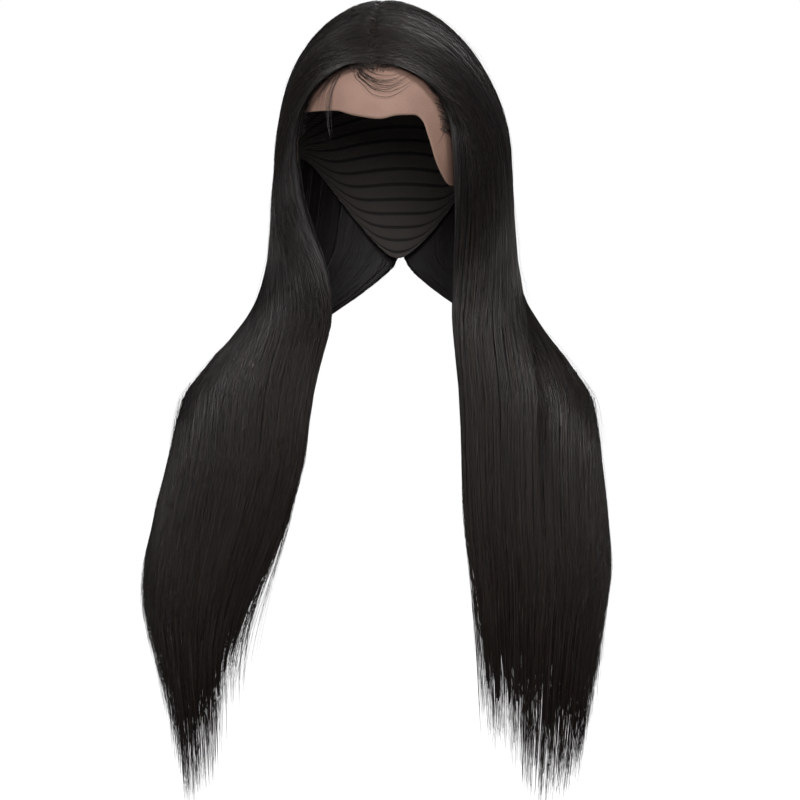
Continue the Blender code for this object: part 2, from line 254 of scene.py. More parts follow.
wig = {
    "capWidth": 0.152, "capDepth": 0.192, "crownRise": 0.1, "napeRadius": 0.12,  # the cap's inner form
    "underHair": 0.00322,  # from the cap's inner form to the hair's underside
    "crownHair": 0.0106, "backHair": 0.0115, "backShift": 0.003, "ringDrop": 0.12,
    "partingTilts": (radians(29.5), radians(126)), "archShare": 0.8,
    "flareHalf": 0.17, "flareDepth": 0.11, "flareDrop": 0.183, "hangLength": 0.301,
    "fallHair": 0.02, "bendShare": 0.7, "widest": 1.56,
    "lean": 0.0034, "leanFrom": -0.095, "leanRun": 0.075,
    "edgeWidth": 0.05, "edgeThinning": 0.65, "edgeHangs": (1.0, 1 / 2.6), "backEdgeFrom": 1.13,
    "setBack": 0.042, "setBackRun": 0.55, "cornerFrom": (0.3, 0.4), "cornerTo": (1.02, 0.2),
}
# Level sections of a fall. Both sides share a section's drop, centre y, radius y and last angle, and
# each has its own centre x, radius x, first angle and thickness. The upper ones are shares of the
# dome's sizes, the others of the flare's.
levels = {
    "upper": ((0.16, 0.035, 0.93, 180), (0.35, 0.055, 0.81, 180)),
    "flare": ((0.51, 0.05, 0.76, 168), (0.67, 0.0, 0.71, 148), (0.84, -0.12, 0.62, 128),
              (1.0, -0.36, 0.45, 112)),
    "lower": ((0.13, -0.55, 0.34, 102), (0.29, -0.67, 0.29, 98), (0.42, -0.75, 0.25, 95),
              (0.55, -0.79, 0.23, 93), (0.71, -0.82, 0.2, 90), (0.87, -0.84, 0.17, 90),
              (1.0, -0.85, 0.155, 90)),
}
sides = {
    "left": {
        "sign": -1, "edge": radians(47), "hair": 0.011, "corner": 0.028, "coreEnd": 0.965,
        "reach": (0.8, 0.96, 1.0, 0.88, 0.72),
        "upper": ((0.0, 1.035, 42, 1.2), (0.0, 1.06, 30, 1.25)),
        "flare": ((0.06, 0.535, 19, 0.75), (0.155, 0.517, 6, 0.75), (0.285, 0.558, -3, 0.8),
                  (0.35, 0.595, -6, 0.9)),
        "lower": ((0.365, 0.591, -6, 1.0), (0.37, 0.65, 0, 1.0), (0.46, 0.605, 0, 0.95),
                  (0.56, 0.5, 0, 0.85), (0.63, 0.35, 0, 0.7), (0.63, 0.31, 0, 0.5),
                  (0.62, 0.3, 0, 0.3)),
    },
    "right": {
        "sign": 1, "edge": radians(41), "hair": 0.019, "corner": 0.012, "coreEnd": 0.925,
        "reach": (0.89, 0.97, 1.0, 0.94, 0.74),
        "upper": ((0.0, 1.01, 41, 0.9), (0.0, 1.03, 38, 0.8)),
        "flare": ((0.06, 0.57, 32, 0.75), (0.19, 0.512, 18, 0.75), (0.32, 0.54, 4, 0.8),
                  (0.38, 0.6, 0, 0.9)),
        "lower": ((0.39, 0.62, 0, 1.0), (0.4, 0.645, 0, 1.0), (0.435, 0.635, 0, 0.95),
                  (0.465, 0.565, 0, 0.85), (0.49, 0.51, 0, 0.7), (0.51, 0.445, 0, 0.5),
                  (0.52, 0.4, 0, 0.3)),
    },
}
falls = {"front": (0 / 12, 5 / 12), "side": (5 / 12, 9 / 12), "back": (9 / 12, 12 / 12)}
fallLength = wig["flareDrop"] + wig["hangLength"]
reachStops = np.linspace(0, 1, 5)


def capRadii(below, wall):
    # half sizes of the cap's inner form, above and below its widest level
    rise = np.where(below, wig["napeRadius"], wig["crownRise"])
    wide, deep = np.full_like(rise, wig["capWidth"] / 2), np.full_like(rise, wig["capDepth"] / 2)
    return np.stack([wide, deep, rise], -1) + wall


def capPoint(directions, wall):
    # where a direction from the middle of the cap's inner form meets that form, grown by a wall
    return directions * capRadii(directions[..., 2] < 0, wall) - np.array([0, 0, wig["crownRise"]])


def clearOfCap(points):
    # a place inside the form moves straight out from the form's middle to it
    middle = np.array([0, 0, -wig["crownRise"]])
    reach = points - middle
    share = np.linalg.norm(reach / capRadii(reach[..., 2] < 0, wig["underHair"]), axis=-1)
    return middle + reach / np.minimum(share, 1.0)[..., None]


def domeRadii(side):
    # half sizes of the hair's dome: the form, the gap under the hair and the hair
    return np.array([
        wig["capWidth"] / 2 + wig["underHair"] + side["hair"],
        wig["capDepth"] / 2 + wig["underHair"] + wig["backHair"],
        wig["ringDrop"] + wig["underHair"] + wig["crownHair"],
    ])


def sectionTable(side):
    # a row each for the drops, centres, radii, angles and thickness of all the level sections
    wide, deep, _ = domeRadii(side)
    dome = (0.0, wig["flareDrop"], wide, deep, side["hair"])
    flare = (0.0, wig["flareDrop"], wig["flareHalf"], wig["flareDepth"], wig["fallHair"])
    lower = (wig["flareDrop"], wig["hangLength"]) + flare[2:]
    table = [(0.0, 0.0, wig["backShift"], wide, deep, degrees(side["edge"]), 180, side["hair"])]
    for part, sizes in {"upper": dome, "flare": flare, "lower": lower}.items():
        above, run, xSize, ySize, thickness = sizes
        for (drop, y, yRadius, last), (x, xRadius, first, hair) in zip(levels[part], side[part]):
            table.append((drop * run + above, x * xSize, y * ySize, xRadius * xSize, yRadius * ySize,
                          first, last, hair * thickness))
    return np.array(table).T


def domeDirection(side, across, down):
    # (1-d)^2 root + 2d(1-d) bend + d^2 leave, on the unit sphere, from the parting to the ring
    tilt = between(wig["partingTilts"], across)
    azimuth = side["edge"] + (pi - side["edge"]) * across
    nothing = np.zeros_like(across)
    root = np.stack([nothing, -np.cos(tilt), np.sin(tilt)], -1)
    leave = np.stack([np.sin(azimuth), -np.cos(azimuth), nothing], -1)
    arch = wig["archShare"] * (1.0 - across) ** 2
    bend = unit(root + leave + np.stack([arch, nothing, arch], -1))
    down = down[..., None]
    return unit((1 - down) ** 2 * root + 2 * down * (1 - down) * bend + down ** 2 * leave)


def hairPair(side, across, path):
    # The hair's outer and inner surface. Across runs from the front edge, 0, to the back edge, 1;
    # path runs from 0 at the parting over the ring at 1 to the longest tips at 2.
    down, drop = np.clip(path, 0, 1), np.clip(path - 1, 0, None) * fallLength
    direction = domeDirection(side, across, down)
    domeOuter = np.array([0, wig["backShift"], -wig["ringDrop"]]) + domeRadii(side) * direction
    domeInner = capPoint(direction, wig["underHair"])
    table = sectionTable(side)
    centreX, centreY, radiusX, radiusY, start, end, hair = (alongCurve(drop, table[0], c) for c in table[1:])
    turn = np.radians(start + (end - start) * across)
    sine, cosine = np.sin(turn), np.cos(turn)
    fallOuter = np.stack([centreX + radiusX * sine, centreY - radiusY * cosine, -wig["ringDrop"] - drop], -1)
    outwards = unit(np.stack([sine / radiusX, -cosine / radiusY, np.zeros_like(turn)], -1))
    room = wig["bendShare"] * np.hypot(radiusX * cosine, radiusY * sine) ** 3 / (radiusX * radiusY)
    hair = hair * room / np.hypot(hair, room)
    freed = ease(drop / (levels["upper"][-1][0] * wig["flareDrop"]))[..., None]
    through = (domeInner - domeOuter) * (1 - freed) - outwards * hair[..., None] * freed
    fallInner = clearOfCap(fallOuter + through)
    onDome = (path < 1.0)[..., None]
    outer, inner = np.where(onDome, domeOuter, fallOuter), np.where(onDome, domeInner, fallInner)
    mirror = np.array([side["sign"], 1, 1])
    return outer * mirror, inner * mirror


def edgeShares(across, path):
    # how far in from the outer and the inner surface the hair begins, near its free edges
    frontEdge = np.clip(across / wig["edgeWidth"], 0, 1)
    backEdge = np.where(path > wig["backEdgeFrom"], np.clip((1 - across) / wig["edgeWidth"], 0, 1), 1.0)
    full = np.sqrt(1 - (1 - np.minimum(frontEdge, backEdge)) ** 2)
    thinning = wig["edgeThinning"] * (1 - full)
    hanging = rising(path, *wig["edgeHangs"])
    return thinning * (1 - hanging / 2), thinning * hanging / 2


def hairPoint(side, across, path, depth):
    # a place in the hair, with depth 0 at its outer and 1 at its inner surface, and the way out
    outer, inner = hairPair(side, across, path)
    lowered, raised = edgeShares(across, path)
    share = lowered + (1 - lowered - raised) * depth
    way = unit(outer - inner)
    return leaning(outer + (inner - outer) * share[..., None]), way


def leaning(points):
    # the top of the hair leans a little to the left: lean * ease(height above where it starts)
    lean = wig["lean"] * rising(points[..., 2:], wig["leanFrom"], wig["leanRun"])
    return points - lean * np.array([1.0, 0.0, 0.0])


def hangingFree(side, across, path, depth, freedom):
    # (1 - f) the place in the fall + f the place straight below where the fall is widest
    held, way = hairPoint(side, across, path, depth)
    free, _ = hairPoint(side, across, np.minimum(path, wig["widest"]), depth)
    free[..., 2] = np.minimum(free[..., 2], held[..., 2])
    return held * (1 - freedom) + free * freedom, way


def reachOf(side, across):
    # how far down a fall its hair reaches, 1 for the longest
    return alongCurve(np.clip(across, 0, 1), reachStops, side["reach"])


def thinned(side, across, path, spread):
    # Across, moved back from the front edge, where the dense hair starts behind the hairline:
    # across + shift (1 - across)^6, with the shift falling off down the dome.
    shift = wig["setBack"] * (1 - ease(path / wig["setBackRun"])) + cornerShift(side, path)
    return across + shift * spread * (1 - across) ** 6


def cornerShift(side, path):
    # the hair stands further back at the corner of the hairline
    return side["corner"] * rising(path, *wig["cornerFrom"]) * (1 - rising(path, *wig["cornerTo"]))


def nearEdges(across):
    # 0 in the middle of a fall, 1 at its front and back edges
    return rising(np.abs(across - 0.5), 0.2, 0.25)


def soften(paths, rounds):
    # each round moves every inner point of a path to (before + 6 itself + after) / 8
    for _ in range(rounds):
        middle = (paths[:, :-2] + 6 * paths[:, 1:-1] + paths[:, 2:]) / 8
        paths = np.concatenate([paths[:, :1], middle, paths[:, -1:]], axis=1)
    return paths


# Hair finishes

tones = {
    "dark": (0.0085, 0.007, 0.0066), "brown": (0.034, 0.0205, 0.015), "ash": (0.02, 0.0172, 0.0155),
    "shine": (1.0, 0.97, 0.945), "roughness": (0.28, 0.46), "shades": 256,
    "tipBrown": 0.55, "tipFrom": 0.62, "rootBrown": 0.45, "rootRun": 0.09,
    "ashShare": 0.8, "brownShare": 0.75, "streaks": (900.0, 14.0), "coreStreaks": (420.0, 5.0),
    "coreBands": (60.0, 2.0),
    "coreRoughness": (0.34, 0.56), "coreRelief": 0.0006,
}


def strandFinish():
    # each strand takes one of a few hundred shades, and gets browner and duller towards its tip
    finish = Finish("black hair strands", IOR=1.55, Specular_Tint=tones["shine"])
    column, along = finish.onMap()
    strand = (column * tones["shades"]).whole()
    shade, tint = finish.chance(strand), finish.chance(strand + 0.37)
    tips = along.remap(tones["tipFrom"], 1.0, 0.0, tones["tipBrown"])
    roots = along.remap(0.0, tones["rootRun"], tones["rootBrown"], 0.0)
    colour = finish.mix(tint.remap(0.55, 1.0, 0.0, tones["ashShare"]), tones["dark"], tones["ash"])
    brown = shade.remap(0.7, 1.0) * tones["brownShare"] + (tips + roots) * (0.4 + 0.6 * shade)
    colour = finish.mix(brown, colour, tones["brown"])
    streak = finish.streaks(column, along, tones["streaks"])
    roughness = between(tones["roughness"], 0.5 * shade + 0.5 * streak) + tips * 0.1
    finish.set(Base_Color=colour, Roughness=roughness)
    return finish


def coreFinish():
    # fine streaks along the hair, drawn on a map whose x goes round the fall and y along it
    finish = Finish("black hair mass", IOR=1.5)
    around, along = finish.onMap()
    fine = finish.streaks(around, along, tones["coreStreaks"], 4.0, 0.6)
    broad = finish.streaks(around, along, tones["coreBands"])
    colour = finish.mix(fine.remap(0.45, 0.75) * 0.6, tones["dark"], tones["brown"])
    finish.set(Base_Color=colour, Roughness=between(tones["coreRoughness"], fine),
               Normal=finish.bump(fine + broad * 0.6, 0.6, tones["coreRelief"]))
    return finish


strandLook, coreLook = strandFinish(), coreFinish()


# The core of each fall

core = {
    "columns": 58, "rows": 54, "start": 0.02, "depth": (0.34, 0.93), "startDepth": 0.88, "riseRun": 0.22,
    "ridge": 0.1, "ridges": 40, "narrow": 0.04, "overlap": 0.012, "rim": 0.002, "rimSlope": 8,
    "jags": 0.11, "middleEnd": 0.065, "setBack": 1.3, "softRounds": 4,
}
panel = {
    "path": (1.1, 1.18, 1.24, 1.32, 1.42, 1.6), "edge": (0.54, 0.46, 0.385, 0.335, 0.318, 0.33),
    "step": 0.52, "edgeRun": 0.016, "back": (0.03, 0.13), "begins": (1.12, 0.12), "ends": (1.42, 0.26),
}


def makeCore(name, side, first, last, lockShift):
    # A closed loft: a ring of outer points then inner points, carried from the parting to near the
    # tips. Half of its thickness closes at both ends and at both rims as sqrt(1 - x^2), and its
    # outer side is ridged by a sum of sines across the fall.
    columns, onDome = core["columns"], core["rows"] // 3
    across = np.linspace(first - core["overlap"] * (first > 0) + core["rim"],
                         last + core["overlap"] * (last < 1) - core["rim"], columns)
    onFall = np.linspace(0, 1, core["rows"] - onDome + 1)
    path = np.concatenate([np.linspace(core["start"], 1, onDome)[:-1], 1 + onFall])
    acrossGrid, pathGrid = np.meshgrid(across, path)
    share = np.clip(pathGrid - 1, 0, 1)
    rise = ease(pathGrid / core["riseRun"])
    jags = core["jags"] * gather(across, strands["locks"], lockShift)[2] ** 2
    end = side["coreEnd"] - core["middleEnd"] * (1 - nearEdges(across))
    fallPath = 1 + share * reachOf(side, acrossGrid) * end * (1 - jags * share)
    pathGrid = np.where(pathGrid > 1, fallPath, pathGrid)
    acrossGrid = 0.5 + (acrossGrid - 0.5) * (1 - core["narrow"] * share ** 4)
    acrossGrid = thinned(side, acrossGrid, pathGrid, core["setBack"])
    low, high = core["depth"]
    low = core["startDepth"] + (low - core["startDepth"]) * rise
    rim = np.minimum(np.linspace(0, 1, columns), np.linspace(1, 0, columns)) * 2
    half = (high - low) / 2 * np.sqrt(1 - 0.999 * share ** 4)
    half = half * np.sqrt(1 - (1 - np.clip(rim * core["rimSlope"], 0.02, 1)) ** 2)
    centre = (low + high) / 2
    outerDepth = centre - half + core["ridge"] * 0.5 * (1 + coreRidges(acrossGrid)) * half
    outerDepth = outerDepth + (core["startDepth"] - outerDepth) * panelStep(side, acrossGrid, pathGrid)
    front, _ = hairPoint(side, acrossGrid, pathGrid, outerDepth)
    back, _ = hairPoint(side, acrossGrid, pathGrid, centre + half)
    ring = np.concatenate([front, back[:, ::-1]], axis=1)
    ring = soften(ring.transpose(1, 0, 2), core["softRounds"]).transpose(1, 0, 2)
    quads = loftFaces(len(path), columns)
    if side["sign"] > 0:
        quads = quads[:, ::-1]
    around = np.arange(2 * columns) / (2 * columns)
    spots = np.stack(np.broadcast_arrays(around, path[:, None] / 2), -1).reshape(-1, 2)
    return makePiece(name, ring.reshape(-1, 3), quads, spots, coreLook)


def coreRidges(across):
    # sin(2 pi n x + 2 sin 61 x) + 0.6 sin(5.3 n x + 1.3), with n ridges across
    count = core["ridges"]
    ridges = np.sin(across * count * 2 * pi + 2 * np.sin(across * 61))
    return ridges + 0.6 * np.sin(across * count * 5.3 + 1.3)


def loftFaces(rows, columns):
    # quads between each ring and the next, and strips that close the first and the last ring
    count = 2 * columns
    row = np.arange(rows - 1)[:, None] * count
    column = np.arange(count)
    following = (column + 1) % count
    quads = np.stack([row + column, row + following, row + count + following, row + count + column], -1)
    strip = np.arange(columns - 1)
    caps = np.stack([strip, count - 1 - strip, count - 2 - strip, strip + 1], -1)
    return np.concatenate([quads.reshape(-1, 4), caps, (rows - 1) * count + caps[:, ::-1]])


def panelStep(side, across, path):
    # On the right the front hair lies over the side hair: past the edge of the front hair, which
    # comes forward on the way down, the hair is deeper, and comes back up further round.
    if side["sign"] < 0:
        return np.zeros_like(across)
    edge = alongCurve(path, panel["path"], panel["edge"])
    past = rising(across, edge, panel["edgeRun"]) * (1 - rising(across - edge, *panel["back"]))
    return panel["step"] * past * rising(path, *panel["begins"]) * (1 - rising(path, *panel["ends"]))


# Strands

strands = {
    "perSide": 1850, "locks": 22, "clumps": 170,
    "domeSteps": (0, 0.025, 0.08, 0.16, 0.25, 0.35, 0.46, 0.58, 0.71, 0.85), "domeUneven": (0.82, 1.22),
    "fallSteps": (0, 0.08, 0.16, 0.235, 0.3, 0.36, 0.42, 0.5, 0.62, 0.76, 0.89, 1.0),
    "fallUneven": (0.92, 1.08), "width": (0.00036, 0.0008), "thickness": 0.6,
    "insideShare": 0.25, "insideReach": 0.5, "insideDepth": 0.9,  # the hairs from the cap, under the others
    "rootSpread": 0.03, "rootRise": 0.03, "rootDepth": 0.34, "surfaceShare": 0.8, "surfaceDepth": 0.1,
    "lockRelief": 0.0011, "clumpRelief": 0.00035, "lockPull": 0.36, "clumpPull": 0.62,
    "wander": 0.0035, "drift": 0.012, "rim": 0.002, "lengths": 0.27, "lockLengths": 0.1, "ragged": 0.6,
    "freedom": 0.18, "fan": 0.0012, "fanFrom": (1.55, 0.45),
}
tips = {
    "perSide": 3350, "steps": 7, "run": (0.2, 0.5), "width": (0.00015, 0.00033), "thickness": 0.8,
    "longest": 1.05, "lengths": 0.36, "freedom": 0.45, "fan": 0.0018, "fanFrom": (1.5, 0.5),
}


def gather(place, cuts, shift):
    # which of the uneven bundles each strand is in: its middle and the strand's place there, -1 to 1
    edges = np.concatenate([[0.0], (np.arange(1, cuts) + shift[1:cuts] * 0.7) / cuts, [1.0]])
    bundle = np.clip(np.searchsorted(edges, place, side="right") - 1, 0, cuts - 1)
    middle, half = (edges[bundle] + edges[bundle + 1]) / 2, (edges[bundle + 1] - edges[bundle]) / 2
    return bundle, middle, (place - middle) / half


def strandPlaces(side, root, path, layer, lockShift, clumpShift):
    # across = root + pulls towards the middles of its lock and clump + slow waves. The pulls grow
    # from the ring to the tips. A lock and a clump are crowned: depth grows with the place squared.
    lock, lockMiddle, lockPlace = gather(root, strands["locks"], lockShift)
    clump, clumpMiddle, clumpPlace = gather(root, strands["clumps"], clumpShift)
    hanging = np.clip((path - 1) / 0.95, 0, 1)
    lockTight = strands["lockPull"] * hanging ** 2.2 * (0.5 + np.abs(lockShift[lock]))[:, None]
    clumpTight = strands["clumpPull"] * (0.1 + 0.9 * hanging ** 1.5)
    across = root[:, None] + (clumpMiddle - root)[:, None] * clumpTight
    across = across + (lockMiddle[:, None] - across) * lockTight
    waves = rng.normal(0, 1, (3, len(root), 1))
    slow = waves[0] * np.sin(path * 3.1 + 6 * waves[1]) + 0.5 * waves[2] * np.sin(path * 7.3 + 5 * waves[0])
    across = across + strands["wander"] * slow * (0.35 + 0.65 * hanging) * ease(path * 4)
    drift = clumpShift[clump][:, None]
    across = across + strands["drift"] * drift * np.sin(path * 2.3 + 9 * drift) * ease(path * 3)
    spread = 0.85 + 0.6 * rng.random((len(root), 1))
    low, high = strands["rim"], 1 - strands["rim"]
    across = np.clip(thinned(side, np.clip(across, low, high), path, spread), low, high)
    outer, inner = hairPair(side, across, path)
    crown = strands["lockRelief"] * lockPlace[:, None] ** 2 * (0.25 + 0.75 * hanging)
    crown = crown + strands["clumpRelief"] * clumpPlace[:, None] ** 2
    depth = layer[:, None] + crown / np.linalg.norm(outer - inner, axis=-1)
    return across, depth + (1 - depth) * panelStep(side, across, path)


def rooted(count, first, last, lockShift):
    # roots at uneven steps across a fall, how long their lock is and how ragged the fall is there
    root = first + (last - first) * (np.arange(count) + rng.random(count)) / count
    lock = gather(root, strands["locks"], lockShift)[0]
    length = 1 - strands["lockLengths"] * np.abs(lockShift[lock])
    return root, length, 1 + strands["ragged"] * nearEdges(root)


def released(side, across, path, depth, values, power):
    # Each hair hangs free by its own freedom * random^power, and the ends spread level, each by its
    # own random step * ease(way past where the fan begins).
    freedom = values["freedom"] * rng.random((len(path), 1, 1)) ** power
    points, outwards = hangingFree(side, across, path, depth, freedom)
    fan = rng.normal(0, 1, (len(path), 1, 3)) * np.array([1.0, 0.8, 0.0]) * values["fan"]
    return soften(points, 1) + fan * rising(path, *values["fanFrom"])[..., None], outwards


def wholeHairs(side, first, last, lockShift, clumpShift):
    # Hairs from the parting or from the cap to the ends: path = start + (1 - start) s^u over the
    # dome and 1 + (end - 1) s^v down the fall, with the powers a little different for each hair.
    count = int(strands["perSide"] * (last - first))
    root, lockLength, ragged = rooted(count, first, last, lockShift)
    length = lockLength * (1 - strands["lengths"] * ragged * rng.random(count) ** 1.3)
    inside = rng.random(count) < strands["insideShare"]
    start = strands["rootSpread"] * rng.random(count) ** 2
    start = start + strands["insideReach"] * np.where(inside, rng.random(count), 0)
    end = 1 + reachOf(side, root) * length
    uneven = chosen(strands["domeUneven"], count)
    dome = start[:, None] + (1 - start[:, None]) * np.array(strands["domeSteps"]) ** uneven
    uneven = chosen(strands["fallUneven"], count)
    fall = 1 + (end[:, None] - 1) * np.array(strands["fallSteps"]) ** uneven
    path = np.concatenate([dome, fall], axis=1)
    onTop = rng.random(count) < strands["surfaceShare"]
    layer = np.where(onTop, rng.random(count) * strands["surfaceDepth"], rng.random(count))
    across, depth = strandPlaces(side, root, path, layer, lockShift, clumpShift)
    rootDepth = strands["rootDepth"] * (0.7 + 0.6 * rng.random(count))
    rootDepth = np.where(inside, strands["insideDepth"], rootDepth)[:, None]
    depth = rootDepth + (depth - rootDepth) * ease((path - start[:, None]) / strands["rootRise"])
    points, outwards = released(side, across, path, depth, strands, 2)
    width = between(strands["width"], rng.random(count) ** 1.5)
    along = (path - path[:, :1]) / (path[:, -1:] - path[:, :1])
    widths = width[:, None] * (0.55 + 0.45 * ease(along * 8)) * (1 - 0.75 * ease((along - 0.72) * 3.6))
    return tubes(points, outwards, widths, strands["thickness"]), along, count


def tipHairs(side, first, last, lockShift, clumpShift):
    # the finer hairs that make up the ends: path = start + (end - start) s
    count = int(tips["perSide"] * (last - first))
    root, lockLength, ragged = rooted(count, first, last, lockShift)
    length = tips["longest"] - tips["lengths"] * ragged * rng.random(count) ** 1.25
    end = 1 + reachOf(side, root) * lockLength * length
    start = end - between(tips["run"], rng.random(count))
    steps = np.linspace(0, 1, tips["steps"])
    path = start[:, None] + (end - start)[:, None] * steps
    across, depth = strandPlaces(side, root, path, rng.random(count), lockShift, clumpShift)
    depth = np.clip(depth * (0.7 + 0.3 * steps), 0.0, 1.0)
    points, outwards = released(side, across, path, depth, tips, 2.5)
    widths = chosen(tips["width"], count) * (1 - 0.7 * rising(steps, 0.6, 0.4))
    return tubes(points, outwards, widths, tips["thickness"]), (path - 1) / (path[:, -1:] - 1), count


def joinTubes(name, parts):
    # one piece of several sets of tubes; a strand's place on the map is its shade's column
    made, total = [], 0
    for (corners, faces, ends), along, count in parts:
        shade = rng.integers(0, tones["shades"], count)
        column = (shade[:, None, None] + 0.5 + 0.3 * np.linspace(-1, 1, tubeSides)) / tones["shades"]
        spot = np.stack(np.broadcast_arrays(column, 0.01 + 0.98 * along[..., None]), -1)
        made.append((corners, faces + total, ends + total, spot.reshape(-1, 2)))
        total += len(corners)
    points, quads, caps, spots = (np.concatenate(arrays) for arrays in zip(*made))
    return makePiece(name, points, quads, spots, strandLook, triangles=caps)


for sideName, side in sides.items():
    lockShift, clumpShift = rng.uniform(-0.5, 0.5, (2, 400))
    for fallName, (first, last) in falls.items():
        body = makeCore(f"{fallName}_hair_core_{sideName}", side, first, last, lockShift)
        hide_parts(f"{fallName}_hair_{sideName}")
        hairs = [make(side, first, last, lockShift, clumpShift) for make in (wholeHairs, tipHairs)]
        joinTubes(f"{fallName}_strands_{sideName}", hairs)
    print(f"hair of the {sideName} side")


# The hairline, the parting and the loose single hairs

hairline = {
    "lift": 0.0011, "setBack": 0.9, "crossing": 0.0045,
    "combed": {"count": 300, "steps": 11, "width": (0.00018, 0.00044), "sweep": (0.03, 0.2),
               "length": (0.25, 0.75), "start": (0.005, 0.975), "behind": (0.004, 0.054)},
    "roots": {"count": 800, "steps": 6, "width": (0.00012, 0.00026), "reach": (0.06, 0.18),
              "start": (0.004, 0.964), "ahead": (0.036, -0.026), "rise": 0.85},
    "parting": {"count": 260, "steps": 7, "width": (0.0002, 0.00044), "reach": (0.05, 0.2),
                "across": (0.012, 0.942)},
}


def overCap(side, across, path, rise, depth):
    # rise 0 lies on the lace and the cap, rise 1 in the hair at this depth; (1 - r) cap + r hair
    direction = domeDirection(side, across, np.clip(path, 0, 1))
    onCap = leaning(capPoint(direction, hairline["lift"]) * np.array([side["sign"], 1, 1]))
    inHair, outwards = hairPoint(side, across, path, depth)
    rise = np.where(path < 1, rise, 1.0)[..., None]
    return onCap * (1 - rise) + inHair * rise, outwards


def combedHairs(side):
    # hairs rooted on the front edge at path p, which rise from the lace to the surface:
    # across = behind + sweep s^0.75, path = p + length s^1.25
    combed = hairline["combed"]
    count, s = combed["count"], np.linspace(0, 1, combed["steps"])
    start = between(combed["start"], (np.arange(count) + rng.random(count)) / count)[:, None]
    sweep = chosen(combed["sweep"], count)
    length = chosen(combed["length"], count)
    behind = between(combed["behind"], each(count) ** 0.8)
    across = behind + sweep * s ** 0.75 * (1 - 0.35 * start)
    path = start + length * s ** 1.25
    across = across + cornerShift(side, path) * hairline["setBack"]
    depth = 0.25 * each(count) ** 2 - 0.03 + 0 * path
    points, outwards = overCap(side, across, path, ease(s * 3.4) + 0 * path, depth)
    widths = chosen(combed["width"], count) * (0.5 + 0.5 * ease(s * 6))
    widths = widths * (1 - 0.8 * rising(s, 0.7, 0.3))
    return tubes(points, outwards, widths, 0.8), np.broadcast_to(s, path.shape), count


def shortRoots(side):
    # short roots start ahead of the front edge, fewer the further ahead, and lean into it:
    # across = ahead + reach s, path = p + lean s / 10 + 0.03 s^2
    roots = hairline["roots"]
    count, s = roots["count"], np.linspace(0, 1, roots["steps"])
    start = between(roots["start"], each(count) ** 0.9)
    reach = chosen(roots["reach"], count)
    lean = rng.normal(0.5, 0.5, (count, 1))
    across = between(roots["ahead"], each(count) ** 1.6) + reach * s
    path = np.clip(start + lean * 0.1 * s + 0.03 * s * s, 0.0, 0.995)
    across = across + cornerShift(side, path) * hairline["setBack"]
    points, outwards = overCap(side, across, path, roots["rise"] * ease(s * 1.1), 0.35 + 0 * path)
    crossing = hairline["crossing"] * np.exp(-start / 0.05) * each(count) * (1 - s)
    points[..., 0] -= side["sign"] * crossing
    widths = chosen(roots["width"], count) * (1 - 0.6 * s)
    return tubes(points, outwards, widths, 0.9), 0.5 * np.broadcast_to(s, path.shape), count


def partingHairs(side):
    # hairs that cross the parting at their roots, by crossing (1 - s)^2, and sink into the others
    parting = hairline["parting"]
    count = parting["count"]
    s = np.linspace(0, 1, parting["steps"]) * np.ones((count, 1))
    across = between(parting["across"], each(count) ** 1.2) + rng.normal(0, 0.02, (count, 1)) * s
    path = chosen(parting["reach"], count) * s
    depth = 0.26 - 0.28 * ease(s * 2.2) + 0.06 * each(count)
    points, outwards = overCap(side, np.clip(across, 0.0, 0.99), path, np.ones_like(s), depth)
    points[..., 0] -= side["sign"] * hairline["crossing"] * each(count) * (1 - s) ** 2
    widths = chosen(parting["width"], count) * (1 - 0.7 * s)
    return tubes(points, outwards, widths, 0.9), 0.5 * s, count


for sideName, side in sides.items():
    joinTubes(f"hairline_{sideName}", [make(side) for make in (combedHairs, shortRoots, partingHairs)])
print("hairline")


loose = {
    "perSide": 120, "steps": 13, "lift": (0.0003, 0.0042), "width": (0.00008, 0.00016), "stray": 0.03,
    "start": (0.04, 1.44), "length": (0.1, 0.52), "wave": 0.008, "endAway": 0.15,
}


def looseHairs(side):
    # Single hairs that leave the surface and come back to it, lift * sin(pi s)^1.4, and stray
    # sideways; some end away from it, at lift * 1.5 s^2.
    count, s = loose["perSide"], np.linspace(0, 1, loose["steps"])
    root = each(count)
    start = chosen(loose["start"], count)
    path = start + between(loose["length"], each(count) ** 1.5) * s
    stray = rng.normal(0, loose["stray"], (count, 1)) * s ** 1.5
    stray = stray + rng.normal(0, loose["wave"], (count, 1)) * np.sin(s * 5 + 6 * each(count))
    across = np.clip(root + stray, 0.0, 1.0)
    path = np.minimum(path, 1 + reachOf(side, across) * 1.02)
    points, outwards = hairPoint(side, across, path, np.zeros_like(path))
    away = each(count) < loose["endAway"]
    lift = between(loose["lift"], each(count) ** 2)
    lift = lift * np.where(away, 1.5 * s ** 2, np.sin(pi * s) ** 1.4)
    points = points + outwards * lift[..., None]
    widths = chosen(loose["width"], count) * (1 - 0.5 * s)
    return tubes(points, outwards, widths, 0.9), np.broadcast_to(s, path.shape), count


for sideName, side in sides.items():
    joinTubes(f"loose_hairs_{sideName}", [looseHairs(side)])
print("loose hairs")


# The fine hairs laid on the lace, as places on the cap's form: degrees from straight ahead, and drop

